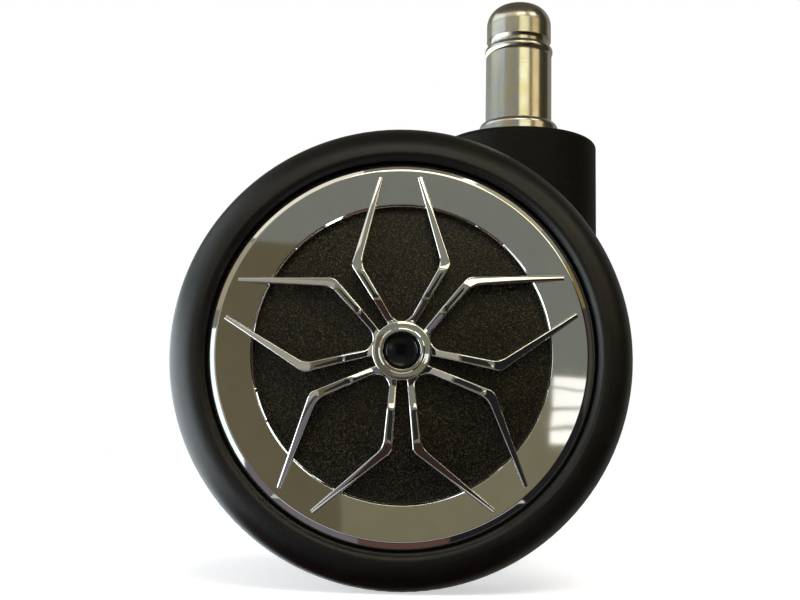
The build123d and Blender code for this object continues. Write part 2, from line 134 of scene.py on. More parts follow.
# Heights between which each slat of a mirrored blind lies, in degrees
BLIND_SLATS = ((-0.1, 0.7), (0.9, 1.75), (1.95, 2.95), (3.1, 3.8))
# Glowing cards that paint reflections of a room's lamps, windows and walls; only gloss and plating show them
CARDS = (
    # Painted reflections of walls, and of a dark gap in front, for the flat faces
    Card("card_brown", (-11.5, -3.0), (-6, 11.3), (0.124, 0.106, 0.063)),
    Card("card_olive", (-3.0, 13.0), (-6, 2.8), (0.190, 0.175, 0.108)),
    Card("card_beige", (-30, -11.5), (-6, 22), (0.36, 0.34, 0.28)),
    Card("card_dark", (-3.9, 6.3), (-1.2, 9.8), (0.020, 0.020, 0.022), layer=1),
    # Lamps and dark walls at the right
    Card("card_lamp", (-1.7, 31), (17.2, 26), (1.0, 0.94, 0.60), 2.1),
    Card("card_gap", (31, 44), (15, 25), (0.20, 0.16, 0.06)),
    Card("card_amber", (44, 69), (15, 25), (1.0, 0.80, 0.44), 1.4),
    Card("card_right", (69, 115), (-40, 60), (0.055, 0.047, 0.030)),
    Card("card_right_low", (14, 42), (-40, 15), (0.015, 0.015, 0.017)),
    Card("card_right_far", (42, 69), (-40, 15), (0.060, 0.053, 0.036)),
    # Wall, floor and windows at the left
    Card("card_left", (-85, -50), (14, 25), (0.15, 0.20, 0.20)),
    Card("card_streak", (-50, -30), (13, 28), (0.36, 0.32, 0.22)),
    Card("card_left_low", (-51, -36), (-25, 9), (0.86, 0.94, 0.97), 1.3),
    Card("card_left_floor", (-60, -10), (-62, -8.5), (0.160, 0.145, 0.165), layer=-1),
    Card("card_window", (-120, -51), (-30, 13), (0.86, 0.96, 1.0), 3.9),
    Card("card_window_high", (-120, -56), (25, 45), (0.90, 0.96, 1.0), 1.4),
    # Walls and a window behind, for the stem's flanks
    Card("card_window_back", (-178, -120), (-32, 14), (0.83, 0.94, 1.0), 2.6),
    Card("card_left_back", (-180, -85), (14, 25), (0.36, 0.40, 0.40)),
    Card("card_right_back", (115, 180), (-45, 45), (0.30, 0.30, 0.27)),
    # Lit ceiling with a beam, for the soft rims
    Card("card_ceiling", (-12, 62), (33, 45), (1.0, 0.91, 0.72), 3.4),
    Card("card_beam", (19, 39), (32, 44), (0.40, 0.36, 0.25), layer=1),
    Card("card_ceiling_left", (-58, -12), (29, 48), (1.0, 0.93, 0.78), 0.9),
    # Slats of a lit blind, in the ring's right side
    *(
        Card(f"card_blind_{number}", (9.2, 12.4), slat, (1.0, 0.98, 0.91), 1.25, layer=2)
        for number, slat in enumerate(BLIND_SLATS)
    ),
)

# Glow of the tent from its lowest to its highest point
TENT_STOPS = (
    (0.00, (0.020, 0.014, 0.012)),
    (0.08, (0.030, 0.020, 0.017)),
    (0.16, (0.110, 0.055, 0.046)),
    (0.22, (0.100, 0.050, 0.042)),
    (0.28, (0.030, 0.019, 0.017)),
    (0.43, (0.040, 0.023, 0.019)),
    (0.465, (0.180, 0.187, 0.158)),
    (0.63, (0.180, 0.187, 0.158)),
    (0.68, (0.220, 0.220, 0.185)),
    (0.80, (0.220, 0.205, 0.165)),
    (0.96, (0.100, 0.092, 0.072)),
)


def node(tree, kind, inputs=None, **settings):
    """Adds one node, with its settings, and its inputs as numbers or as sockets to link from."""
    made = tree.nodes.new(kind)
    for key, value in settings.items():
        setattr(made, key, value)
    for socket, value in (inputs or {}).items():
        if isinstance(value, bpy.types.NodeSocket):
            tree.links.new(value, made.inputs[socket])
        else:
            made.inputs[socket].default_value = value
    return made


def ramp(tree, factor, stops):
    """Colour ramp through (position, colour) stops."""
    made = node(tree, "ShaderNodeValToRGB", {"Fac": factor})
    elements = made.color_ramp.elements
    while len(elements) < len(stops):
        elements.new(1.0)
    for element, (position, colour) in zip(elements, stops):
        element.position = position
        element.color = (*colour, 1.0)
    return made.outputs["Color"]


def between(tree, pattern, span, colours):
    """Colour that goes from one to another over a span of a pattern's range."""
    return ramp(tree, pattern, tuple(zip(span, colours)))


def mix_colours(tree, factor, first, second, blend="MIX"):
    """Mixes two colours."""
    made = node(
        tree,
        "ShaderNodeMix",
        {"Factor": factor, MIX_FIRST: first, MIX_SECOND: second},
        data_type="RGBA",
        blend_type=blend,
    )
    return made.outputs[MIX_RESULT]


def vector_math(tree, operation, *inputs):
    """Adds one vector sum and gives it back with its outputs."""
    return node(tree, "ShaderNodeVectorMath", dict(enumerate(inputs)), operation=operation).outputs


def own_place(tree):
    """A piece's own coordinates, in metres."""
    return node(tree, "ShaderNodeTexCoord").outputs["Object"]


def grain(tree, place, size, detail=2.0, roughness=0.5):
    """Noise whose lumps are about size metres across."""
    made = node(
        tree,
        "ShaderNodeTexNoise",
        {"Vector": place, "Scale": 1.0 / size, "Detail": detail, "Roughness": roughness},
    )
    return made.outputs["Fac"]


def new_finish(name):
    """Starts a material and gives it back with its node tree, its shader and the piece's own coordinates."""
    finish = bpy.data.materials.new(name)
    finish.use_nodes = True
    tree = finish.node_tree
    return finish, tree, tree.nodes["Principled BSDF"], own_place(tree)


def colour_by(tree, shader, pattern, colours, span=NOISE_SPAN):
    """Lets a pattern run a finish from one colour to another."""
    tree.links.new(between(tree, pattern, span, colours), shader.inputs["Base Color"])


def roughen_by(tree, shader, pattern, look):
    """Lets a pattern run a finish over its range of roughness."""
    low, high = look.roughness
    made = node(tree, "ShaderNodeMapRange", {"Value": pattern, "To Min": low, "To Max": high})
    tree.links.new(made.outputs["Result"], shader.inputs["Roughness"])


def bump(tree, shader, height, depth):
    """Links a height pattern to a shader's normal, depth metres deep."""
    made = node(tree, "ShaderNodeBump", {"Height": height, "Distance": depth})
    tree.links.new(made.outputs["Normal"], shader.inputs["Normal"])


def moulded_finish(name, look, detail=3.0):
    """Plastic or rubber with soft clouds in its colour and gloss, and a fine grain."""
    finish, tree, shader, place = new_finish(name)
    shader.inputs["Specular IOR Level"].default_value = look.specular
    cloud = grain(tree, place, look.cloud, detail)
    colour_by(tree, shader, cloud, (look.dark, look.light))
    roughen_by(tree, shader, cloud, look)
    bump(tree, shader, grain(tree, place, look.grain), look.depth)
    return finish


def add_object(name, data, place=(0, 0, 0), turn=(0, 0, 0)):
    """Puts new data into the scene as an object."""
    made = bpy.data.objects.new(name, data)
    made.location = place
    made.rotation_euler = turn
    bpy.context.scene.collection.objects.link(made)
    return made


def dress(names, finish):
    """Gives CAD nodes a finish."""
    for name in names:
        slots = frame["nodes"][name].data.materials
        slots.clear()
        slots.append(finish)


def colour_property(name, description, default):
    """Colour that a user can change."""
    return FloatVectorProperty(
        name=name, description=description, default=default, size=3, min=0.0, max=1.0, subtype="COLOR"
    )


def length_property(name, description, default):
    """Length that a user can change."""
    return FloatProperty(
        name=name, description=description, default=default, min=0.0, precision=5, unit="LENGTH"
    )


def angle_property(name, description, default):
    """Angle that a user can change, with its default in degrees."""
    return FloatProperty(name=name, description=description, default=radians(default), subtype="ANGLE")


def specular_property(default):
    """Strength of a finish's gloss that a user can change."""
    return FloatProperty(
        name="Specular", description="Strength of the gloss",
        default=default, min=0.0, max=1.0, subtype="FACTOR",
    )


def roughness_property(low, high):
    """Range of a finish's roughness that a user can change."""
    return FloatVectorProperty(
        name="Roughness", description="Roughness at both ends of the pattern in the finish",
        default=(low, high), size=2, min=0.0, max=1.0,
    )


class CastorTreadSettings(bpy.types.PropertyGroup):
    """Soft tread of both tyres."""
    dark: colour_property("Dark", "Deeper colour of the tread", (0.0020, 0.0017, 0.0012))
    light: colour_property("Light", "Paler colour of the tread", (0.0040, 0.0034, 0.0024))
    specular: specular_property(0.5)
    roughness: roughness_property(0.36, 0.44)
    cloud: length_property("Cloud", "Size of the clouds in the colour", 0.004)
    grain: length_property("Grain", "Size of the moulded grain", 0.00022)
    depth: length_property("Depth", "Depth of the moulded grain", 0.00003)


class CastorFaceSettings(bpy.types.PropertyGroup):
    """Spark-eroded faces of both wheels."""
    # The deepest colour also paints the shade in the groove round the ring
    dark: colour_property("Dark", "Colour between the grains", (0.0008, 0.0006, 0.0003))
    light: colour_property("Light", "Colour on top of the grains", (0.0500, 0.0412, 0.0165))
    worn: colour_property("Worn", "Tint of the darker patches", (0.75, 0.75, 0.75))
    fresh: colour_property("Fresh", "Tint of the paler patches", (1.0, 1.0, 1.0))
    specular: specular_property(0.25)
    roughness: roughness_property(0.44, 0.32)
    patch: length_property("Patch", "Size of the patches", 0.006)
    grain: length_property("Grain", "Size of the spark-eroded grain", 0.00021)
    depth: length_property("Depth", "Depth of the spark-eroded grain", 0.00005)
    # Out past this radius the face takes its deepest colour: smooth under the ring, and painted shade in the
    # groove round it
    shaded_land: length_property("Land", "Radius at which the spark-eroded texture ends", 0.0235)
    shaded_land_blend: length_property("Land blend", "Half the width over which it fades out there", 0.001)


class CastorTrimSettings(bpy.types.PropertyGroup):
    """Plated ring, star and hub ring."""
    dark: colour_property("Dark", "Deeper colour of the plating", (0.86, 0.86, 0.85))
    light: colour_property("Light", "Paler colour of the plating", (0.903, 0.903, 0.8925))
    roughness: roughness_property(0.02, 0.05)
    haze: length_property("Haze", "Size of the clouds in the plating", 0.003)
    ripple: length_property("Ripple", "Length of the slow waves in the plating", 0.006)
    ripple_depth: length_property("Ripple depth", "Depth of the slow waves in the plating", 0.000012)
    seat: length_property("Seat", "From the middle plane out to the ring's back", 0.0277)
    ring_face: length_property("Ring face", "From the middle plane out to the ring's face", 0.0290)
    ring_outer: length_property("Ring outer", "Outer radius of the ring", 0.0266)
    ring_inner: length_property("Ring inner", "Inner radius of the ring", 0.02044)
    ring_bevel: length_property("Ring bevel", "Bevel of the ring's inner edge", 0.0003)
    bevel_rounding: length_property("Bevel rounding", "Rounding on both sides of that bevel", 0.0001)
    rim_width: length_property("Rim width", "Width of the soft rim round the ring", 0.00100)
    rim_depth: length_property("Rim depth", "Depth of the soft rim round the ring", 0.00030)
    rim_rounding: length_property("Rim rounding", "Rounding from the ring's face to its rim", 0.0008)
    rim_edge: length_property("Rim edge", "Rounding of the rim's outer edge", 0.0002)
    dome_rise: length_property("Dome rise", "How far the wheel's face rises to its middle", 0.0014)
    gap: length_property("Gap", "Between the wheel's face and the arms", 0.00004)
    arm_top: length_property("Arm top", "From the middle plane out to the arms' highest stretch", 0.0313)
    root_reach: length_property("Root reach", "From the axle to where an arm stops rising", 0.0079)
    root_drop: length_property("Root drop", "How much lower an arm lies at the hub", 0.0009)
    root_rounding: length_property("Root rounding", "Rounding where an arm stops rising", 0.005)
    slope_reach: length_property("Slope reach", "From the axle to where an arm starts to sink", 0.0126)
    slope_rounding: length_property("Slope rounding", "Rounding where an arm starts to sink", 0.0015)
    tip_height: length_property("Tip height", "Height of an arm's tip above the ring's face", 0.00025)
    edge_rounding: length_property("Edge rounding", "Rounding along the edges of an arm", 0.00026)
    edge_share: FloatProperty(
        name="Edge share", description="Most of an arm's half width that this rounding takes",
        default=0.6, min=0.0, max=1.0, subtype="FACTOR",
    )
    start_along: length_property("Start along", "Start of an arm, along the petal's middle line", 0.0029)
    start_across: length_property("Start across", "Start of an arm, across that line", 0.0008)
    start_width: length_property("Start width", "Width of an arm at the hub", 0.00100)
    knee_width: length_property("Knee width", "Width of an arm at its bend", 0.00132)
    tip_width: length_property("Tip width", "Width of an arm at its tip", 0.00066)
    knee_reach: length_property("Knee reach", "From the axle to the bend of an arm", 0.01341)
    tip_reach: length_property("Tip reach", "From the axle to the tip of an arm", 0.0247)
    knee_outside: length_property("Knee outside", "Rounding outside the bend", 0.0012)
    knee_inside: length_property("Knee inside", "Rounding inside the bend", 0.0030)
    web_rounding: length_property("Web rounding", "Rounding between the two arms of a petal", 0.00172)
    hub_ring: length_property("Hub ring", "Outer radius of the hub ring", 0.00403)
    hub_top: length_property("Hub top", "From the middle plane out to the top of the hub ring", 0.0322)
    hub_fall: length_property("Hub fall", "How much lower the hub ring lies at its edge", 0.00020)
    hub_rounding: length_property("Hub rounding", "Rounding of the hub ring's edge", 0.00016)
    crest_fall: length_property("Crest fall", "How much lower it lies between edge and step", 0.00015)
    crest_rounding: length_property("Crest rounding", "Rounding of its face there", 0.012)
    hub_step: length_property("Hub step", "Radius of the step in the hub ring's face", 0.0030)
    step_width: length_property("Step width", "Width of that step's slope", 0.00014)
    step_fall: length_property("Step fall", "How much lower the foot of the step lies", 0.00012)
    step_foot: length_property("Step foot", "Rounding at the foot of the step", 0.00003)
    land_fall: length_property("Land fall", "How much lower the top of the step lies", 0.00005)
    step_brow: length_property("Step brow", "Rounding at the top of the step", 0.00004)
    cap_seat: length_property("Cap seat", "Radius of the hole for the cap", 0.00256)
    seat_rounding: length_property("Seat rounding", "Rounding round that hole", 0.00008)
    knee_angle: angle_property("Knee angle", "From the petal's middle line to the bend", 27.4)
    tip_angle: angle_property("Tip angle", "From the petal's middle line to the tip", 6.34)
    petal_angle: angle_property("Petal angle", "Direction of the first petal", 91.5)


class CastorCapSettings(bpy.types.PropertyGroup):
    """Gloss black plugs in the hub rings."""
    dark: colour_property("Dark", "Deeper colour of the plug", (0.0010, 0.0015, 0.0025))
    light: colour_property("Light", "Paler colour of the plug", (0.0020, 0.0027, 0.0040))
    specular: specular_property(0.5)
    roughness: roughness_property(0.06, 0.14)
    cloud: length_property("Cloud", "Size of the clouds in the gloss", 0.0012)
    grain: length_property("Grain", "Size of the faint unevenness", 0.0006)
    depth: length_property("Depth", "Depth of the faint unevenness", 0.000003)
    radius: length_property("Radius", "Radius of the plug", 0.00253)
    edge_rounding: length_property("Edge rounding", "Rounding of the plug's outer edge", 0.0001)
    recess: length_property("Recess", "How far the plug's rim lies under the hub ring", 0.00045)
    rim_rounding: length_property("Rim rounding", "Rounding of the rim above the dish", 0.00008)
    dish_radius: length_property("Dish radius", "Radius of the dish in the plug", 0.0020)
    dish_step: length_property("Dish step", "Step from the rim down to the dish", 0.00012)
    dish_rounding: length_property("Dish rounding", "Rounding at the foot of that step", 0.00004)
    dish_depth: length_property("Dish depth", "Depth of the dish", 0.00013)


class CastorHousingSettings(bpy.types.PropertyGroup):
    """Moulded housing between the wheels."""
    dark: colour_property("Dark", "Deeper colour of the moulding", (0.0017, 0.0012, 0.0004))
    light: colour_property("Light", "Paler colour of the moulding", (0.0044, 0.0034, 0.0014))
    specular: specular_property(0.20)
    roughness: roughness_property(0.50, 0.62)
    cloud: length_property("Cloud", "Size of the clouds in the colour", 0.0008)
    grain: length_property("Grain", "Size of the moulded grain", 0.00030)
    depth: length_property("Depth", "Depth of the moulded grain", 0.00006)


class CastorStemSettings(bpy.types.PropertyGroup):
    """Plated steel of the stem, the axle and the rings on them."""
    silver: colour_property("Silver", "Colour of the bare plating", (0.64, 0.64, 0.61))
    straw: colour_property("Straw", "Yellow cast in the plating", (0.64, 0.59, 0.45))
    roughness: roughness_property(0.16, 0.26)
    cloud: length_property("Cloud", "Size of the yellow clouds", 0.003)
    turning: length_property("Turning", "Pitch of the turning marks", 0.00022)
    turning_depth: length_property("Turning depth", "Depth of the turning marks", 0.000008)
    drawn_out: FloatVectorProperty(
        name="Drawn out", description="How the marks are drawn out round the stem: less is longer",
        default=(0.04, 0.04, 1.0), size=3, min=0.0, subtype="XYZ",
    )


class CastorBearingSettings(bpy.types.PropertyGroup):
    """Bearing plastic of the sleeve, bushes and washers."""
    dark: colour_property("Dark", "Deeper colour of the plastic", (0.15, 0.15, 0.14))
    light: colour_property("Light", "Paler colour of the plastic", (0.21, 0.21, 0.20))
    specular: specular_property(0.5)
    roughness: roughness_property(0.35, 0.48)
    cloud: length_property("Cloud", "Size of the clouds in the colour", 0.002)
    grain: length_property("Grain", "Size of the fine grain", 0.0003)
    depth: length_property("Depth", "Depth of the fine grain", 0.00001)


class CastorStudioSettings(bpy.types.PropertyGroup):
    """Camera, light and floor."""
    camera_place: FloatVectorProperty(
        name="Camera place", description="Where the camera stands", size=3, unit="LENGTH", subtype="XYZ",
        default=AXLE + Vector((-0.000995, -0.181716, -0.014076)), precision=5,
    )
    camera_turn: FloatVectorProperty(
        name="Camera turn", description="How the camera is turned", size=3, unit="ROTATION", subtype="EULER",
        default=(radians(97.948), radians(-1.173), radians(-0.399)),
    )
    lens: FloatProperty(
        name="Lens", description="Focal length in millimetres", default=50.31, min=1.0, unit="CAMERA"
    )
    floor_dark: colour_property("Floor", "Colour of the floor", (0.90, 0.90, 0.90))
    floor_light: colour_property("Pale floor", "Colour of the floor's paler clouds", (0.91, 0.91, 0.91))
    floor_cloud: length_property("Floor cloud", "Size of the clouds in the floor", 0.4)
    floor_reach: length_property("Floor reach", "From the castor to the floor's edges", 6.0)
    floor_glow: FloatProperty(
        name="Floor glow", description="White that the camera sees on the floor", default=0.56, min=0.0
    )
    ambient: FloatProperty(
        name="Ambient", description="Strength of the light from all round", default=0.5, min=0.0
    )
    tent: length_property("Tent", "Radius of the reflector tent", 0.9)
    strip_half: length_property("Strip half", "Half the width of the mirrored strip of floor", 0.03)
    strip_near: length_property("Strip near", "From the middle plane to the strip's back", 0.050)
    strip_far: length_property("Strip far", "From the middle plane to the strip's front", 0.064)
    strip_lift: length_property("Strip lift", "Height of the strip above the floor", 0.0002)
    strip_cloud: length_property("Strip cloud", "Size of the clouds in the strip", 0.02)
    strip_dark: colour_property("Strip", "Colour of the strip", (0.50, 0.50, 0.49))
    strip_light: colour_property("Pale strip", "Colour of the strip's paler clouds", (0.56, 0.56, 0.54))


class CASTOR_OT_tyres(bpy.types.Operator):
    """Gives the tyres their soft satin tread"""
    bl_idname = "castor.tyres"
    bl_label = "Tyres"

    def execute(self, context):
        dress(["right_tyre", "left_tyre"], moulded_finish("soft_tread", context.scene.castor_tread))
        return {"FINISHED"}


class CASTOR_OT_wheel_faces(bpy.types.Operator):
    """Gives the wheel cores their coarse spark-eroded faces"""
    bl_idname = "castor.wheel_faces"
    bl_label = "Wheel faces"

    def shaded_land(self, tree, face, place):
        """Factor that is 1 where the face is smooth and dark, under the ring and in the groove round it,
        where the dark is painted shade.
        """
        offset = vector_math(tree, "SUBTRACT", place, AXLE)["Vector"]
        flat = vector_math(tree, "MULTIPLY", offset, (1, 0, 1))["Vector"]
        reach = vector_math(tree, "LENGTH", flat)["Value"]
        return node(tree, "ShaderNodeMapRange", {
            "Value": reach,
            "From Min": face.shaded_land - face.shaded_land_blend,
            "From Max": face.shaded_land + face.shaded_land_blend,
        }).outputs["Result"]

    def execute(self, context):
        face = context.scene.castor_face
        finish, tree, shader, place = new_finish("textured_plastic")
        shader.inputs["Specular IOR Level"].default_value = face.specular
        sparks = grain(tree, place, face.grain, roughness=0.6)
        speckle = between(tree, sparks, SPARK_SPAN, (face.dark, face.light))
        wear = between(tree, grain(tree, place, face.patch), PATCH_SPAN, (face.worn, face.fresh))
        worn_speckle = mix_colours(tree, 1.0, speckle, wear, "MULTIPLY")
        # Out past that radius the face turns to its deepest colour: smooth under the ring, and painted shade
        # in the groove between ring and tyre
        colour = mix_colours(tree, self.shaded_land(tree, face, place), worn_speckle, (*face.dark, 1.0))
        tree.links.new(colour, shader.inputs["Base Color"])
        roughen_by(tree, shader, sparks, face)
        bump(tree, shader, sparks, face.depth)
        dress(["right_wheel_core", "left_wheel_core"], finish)
        return {"FINISHED"}


def rounded(corners, closed=True, steps=CORNER_STEPS):
    """Outline through (x, y, rounding) corners, each rounded by an arc of that radius."""
    outline = []
    count = len(corners)
    for index, (x, y, rounding) in enumerate(corners):
        point = Vector((x, y))
        at_end = not closed and index in (0, count - 1)
        if rounding == 0.0 or at_end:
            outline.append(point)
            continue
        before = (Vector(corners[index - 1][:2]) - point).normalized()
        after = (Vector(corners[(index + 1) % count][:2]) - point).normalized()
        half = before.angle(after) / 2
        middle = point + (before + after).normalized() * rounding / sin(half)
        start = point + before * rounding / tan(half) - middle
        end = point + after * rounding / tan(half) - middle
        turn = start.angle_signed(end)
        for step in range(steps + 1):
            share = -turn * step / steps
            outline.append(middle + Matrix.Rotation(share, 2) @ start)
    return outline


def stretch(start, end, steps):
    """Points along a straight stretch, both ends included."""
    return [start.lerp(end, step / steps) for step in range(steps + 1)]


def lathe(mesh, outline, segments, closed=True):
    """Turns an outline of (distance from the axle, distance outward) points round the Y axis into a bmesh."""
    ring = [mesh.verts.new((point[0], point[1], 0.0)) for point in outline]
    pairs = list(zip(ring, ring[1:]))
    if closed:
        pairs.append((ring[-1], ring[0]))
    edges = [mesh.edges.new(pair) for pair in pairs]
    bmesh.ops.spin(
        mesh, geom=ring + edges, cent=(0, 0, 0), axis=(0, 1, 0), angle=2 * pi, steps=segments, use_merge=True
    )


def smooth_piece(name, made, finish, body, replaced):
    """Turns a bmesh into a piece of the castor: smooth over its roundings, flat on its flats."""
    bmesh.ops.remove_doubles(made, verts=made.verts, dist=MERGE_DISTANCE)
    bmesh.ops.recalc_face_normals(made, faces=made.faces)
    data = bpy.data.meshes.new(name)
    made.to_mesh(data)
    made.free()
    data.shade_smooth()
    data.set_sharp_from_angle(angle=SHARP_ANGLE)
    data.materials.append(finish)
    piece = add_object(name, data)
    weights = piece.modifiers.new("flat_faces", "WEIGHTED_NORMAL")
    weights.weight = FACE_WEIGHT
    weights.keep_sharp = True
    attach(piece, body)
    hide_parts(replaced)


def onto_wheel(made, side):
    """Moves a bmesh that faces outward along +Y onto one wheel. From outside, its own X runs to the right."""
    bmesh.ops.transform(made, verts=made.verts, matrix=Matrix((
        (-side, 0, 0, AXLE.x), (0, side, 0, 0), (0, 0, 1, AXLE.z), (0, 0, 0, 1),
    )))


class CASTOR_OT_trim(bpy.types.Operator):
    """Builds the plated ring, star and hub ring of both wheels"""
    bl_idname = "castor.trim"
    bl_label = "Chrome trim"

    def finish(self, trim):
        """Bright plating with slow waves and a faint haze."""
        finish, tree, shader, place = new_finish("plated_trim")
        shader.inputs["Metallic"].default_value = 1.0
        haze = grain(tree, place, trim.haze, detail=3.0)
        colour_by(tree, shader, haze, (trim.dark, trim.light))
        roughen_by(tree, shader, haze, trim)
        bump(tree, shader, grain(tree, place, trim.ripple, detail=0.5), trim.ripple_depth)
        return finish

    def face(self, trim, reach):
        """How far outward the wheel's domed face lies at a distance from the axle."""
        dome = (trim.ring_inner ** 2 + trim.dome_rise ** 2) / (2 * trim.dome_rise)
        return trim.seat + trim.dome_rise - dome + sqrt(dome ** 2 - min(reach, trim.ring_inner) ** 2)

    def crown_line(self, trim):
        """Line of an arm's crown seen from its side: up from the hub, level, then down to the tip."""
        return rounded([
            (trim.hub_ring, trim.arm_top - trim.root_drop, 0.0),
            (trim.root_reach, trim.arm_top, trim.root_rounding),
            (trim.slope_reach, trim.arm_top, trim.slope_rounding),
            (trim.tip_reach, trim.ring_face + trim.tip_height, 0.0),
        ], closed=False, steps=CROWN_STEPS)

    def crown(self, line, reach):
        """How far outward an arm's crown lies at a distance from the axle."""
        for near, far in zip(line, line[1:]):
            if reach <= far.x:
                break
        return near.y + (far.y - near.y) * (reach - near.x) / (far.x - near.x)

    def arm_corners(self, trim):
        """Start, bend and tip of one arm in plan, first on its outer side, then on its inner side."""
        start = Vector((trim.start_along, trim.start_across))
        knee = Vector((cos(trim.knee_angle), sin(trim.knee_angle))) * trim.knee_reach
        tip = Vector((cos(trim.tip_angle), sin(trim.tip_angle))) * trim.tip_reach
        lower = (knee - start).orthogonal().normalized()
        upper = (tip - knee).orthogonal().normalized()
        bend = (lower + upper).normalized()
        return [
            (
                start + lower * side * trim.start_width / 2,
                knee + bend * side * trim.knee_width / 2 / bend.dot(lower),
                tip + upper * side * trim.tip_width / 2,
            )
            for side in (1, -1)
        ]

    def arm_sides(self, trim):
        """Both sides of one arm in plan, from the hub round the bend to the tip, with as many points each."""
        outer, inner = self.arm_corners(trim)
        # The two arms of a petal meet in a round web, and each arm has its half of it
        along = (inner[1] - inner[0]).normalized()
        corner = inner[0] - along * inner[0].y / along.y
        web = rounded([
            (inner[1].x, -inner[1].y, 0.0), (*corner, trim.web_rounding), (*inner[1], 0.0),
        ], closed=False, steps=WEB_STEPS)[1 + WEB_STEPS // 2:-1]
        along = (outer[1] - outer[0]).normalized()
        foot = outer[0] + along * along.dot(web[-1] - outer[0])
        sides = []
        for root, corners, rounding in (
            (stretch(outer[0], foot, len(web) - 1), (foot, *outer[1:]), trim.knee_outside),
            (web, (web[-1], *inner[1:]), trim.knee_inside),
        ):
            first, *arc, last = rounded([
                (*corners[0], 0.0), (*corners[1], rounding), (*corners[2], 0.0),
            ], closed=False, steps=KNEE_STEPS)
            lower = stretch(first, arc[0], ARM_STEPS)
            upper = stretch(arc[-1], last, ARM_STEPS)
            sides.append(root[:-1] + lower + arc[1:-1] + upper)
        return sides

    def arm(self, mesh, trim, flip, turn):
        """Lofts one arm: upright sides, rounded edges, and a crown that sinks to the hub and to the tip."""
        line = self.crown_line(trim)
        sections = []
        for outer, inner in zip(*self.arm_sides(trim)):
            middle = (outer + inner) / 2
            across = (inner - outer).normalized()
            half = (inner - outer).length / 2
            edge = min(trim.edge_rounding, trim.edge_share * half)
            profile = rounded([
                (-half, 2 * edge, 0.0), (-half, 0.0, edge), (half, 0.0, edge), (half, 2 * edge, 0.0),
            ], closed=False, steps=EDGE_STEPS)
            section = []
            for index, (place, drop) in enumerate(profile):
                point = middle + across * place
                reach = point.length
                if index in (0, len(profile) - 1):
                    out = min(self.face(trim, reach) + trim.gap, trim.ring_face - trim.ring_bevel)
                else:
                    out = self.crown(line, reach) - drop
                y = flip * point.y
                section.append(mesh.verts.new((
                    point.x * cos(turn) - y * sin(turn), out, point.x * sin(turn) + y * cos(turn),
                )))
            sections.append(section)
        for near, far in zip(sections, sections[1:]):
            for a, b in zip(range(len(near)), [*range(1, len(near)), 0]):
                mesh.faces.new((near[a], near[b], far[b], far[a]))
        mesh.faces.new(sections[0])
        mesh.faces.new(sections[-1])

    def ring(self, mesh, trim):
        """Flat ring with a bevelled inner edge and a soft rim."""
        lathe(mesh, rounded([
            (trim.ring_outer, trim.seat, 0.0),
            (trim.ring_inner, trim.seat, 0.0),
            (trim.ring_inner, trim.ring_face - trim.ring_bevel, trim.bevel_rounding),
            (trim.ring_inner + trim.ring_bevel, trim.ring_face, trim.bevel_rounding),
            (trim.ring_outer - trim.rim_width, trim.ring_face, trim.rim_rounding),
            (trim.ring_outer, trim.ring_face - trim.rim_depth, trim.rim_edge),
        ]), RING_SEGMENTS)

    def hub(self, mesh, trim):
        """Hub ring whose face falls a little to its edge, with a fine step round the hole for the cap."""
        foot = self.face(trim, trim.hub_ring) + trim.gap
        step = trim.hub_step + trim.step_width
        lathe(mesh, rounded([
            (trim.hub_ring, foot, 0.0),
            (trim.hub_ring, trim.hub_top - trim.hub_fall, trim.hub_rounding),
            ((trim.hub_ring + step) / 2, trim.hub_top - trim.crest_fall, trim.crest_rounding),
            (step, trim.hub_top - trim.step_fall, trim.step_foot),
            (trim.hub_step, trim.hub_top - trim.land_fall, trim.step_brow),
            (trim.cap_seat, trim.hub_top, trim.seat_rounding),
            (trim.cap_seat, foot, 0.0),
        ]), HUB_SEGMENTS)

    def star(self, trim):
        """Ring, hub ring and ten arms, turned to face outward along +Y."""
        made = bmesh.new()
        self.ring(made, trim)
        self.hub(made, trim)
        for petal in range(PETALS):
            turn = trim.petal_angle + petal * 2 * pi / PETALS
            self.arm(made, trim, 1, turn)
            self.arm(made, trim, -1, turn)
        return made

    def execute(self, context):
        trim = context.scene.castor_trim
        finish = self.finish(trim)
        for name, side in WHEELS:
            made = self.star(trim)
            onto_wheel(made, side)
            smooth_piece(
                f"{name}_ring_and_star", made, finish, f"{name}_wheel", f"{name}_chrome_trim"
            )
        return {"FINISHED"}


class CASTOR_OT_hub_caps(bpy.types.Operator):
    """Builds the gloss black plugs in the hub rings"""
    bl_idname = "castor.hub_caps"
    bl_label = "Hub caps"

    def plug(self, cap, trim):
        """Plug with a rim, a small step and a shallow dish, turned to face outward along +Y."""
        rim = trim.hub_top - cap.recess
        ball = (cap.dish_radius ** 2 + cap.dish_depth ** 2) / (2 * cap.dish_depth)
        bottom = rim - cap.dish_step - cap.dish_depth
        dish = [cap.dish_radius * step / DISH_STEPS for step in range(DISH_STEPS - 1, -1, -1)]
        made = bmesh.new()
        lathe(made, rounded([
            (0.0, trim.seat, 0.0),
            (cap.radius, trim.seat, 0.0),
            (cap.radius, rim, cap.edge_rounding),
            (cap.dish_radius + cap.dish_step, rim, cap.rim_rounding),
            (cap.dish_radius, rim - cap.dish_step, cap.dish_rounding),
            *((reach, bottom + ball - sqrt(ball ** 2 - reach ** 2), 0.0) for reach in dish),
        ], closed=False), CAP_SEGMENTS, closed=False)
        return made

    def execute(self, context):
        cap = context.scene.castor_cap
        finish = moulded_finish("gloss_black", cap)
        for name, side in WHEELS:
            made = self.plug(cap, context.scene.castor_trim)
            onto_wheel(made, side)
            smooth_piece(f"{name}_plug", made, finish, f"{name}_wheel", f"{name}_hub_cap")
        return {"FINISHED"}


class CASTOR_OT_housing(bpy.types.Operator):
    """Gives the housing its fine moulded grain"""
    bl_idname = "castor.housing"
    bl_label = "Housing"

    def execute(self, context):
        dress(["housing"], moulded_finish("housing_plastic", context.scene.castor_housing, detail=4.0))
        return {"FINISHED"}


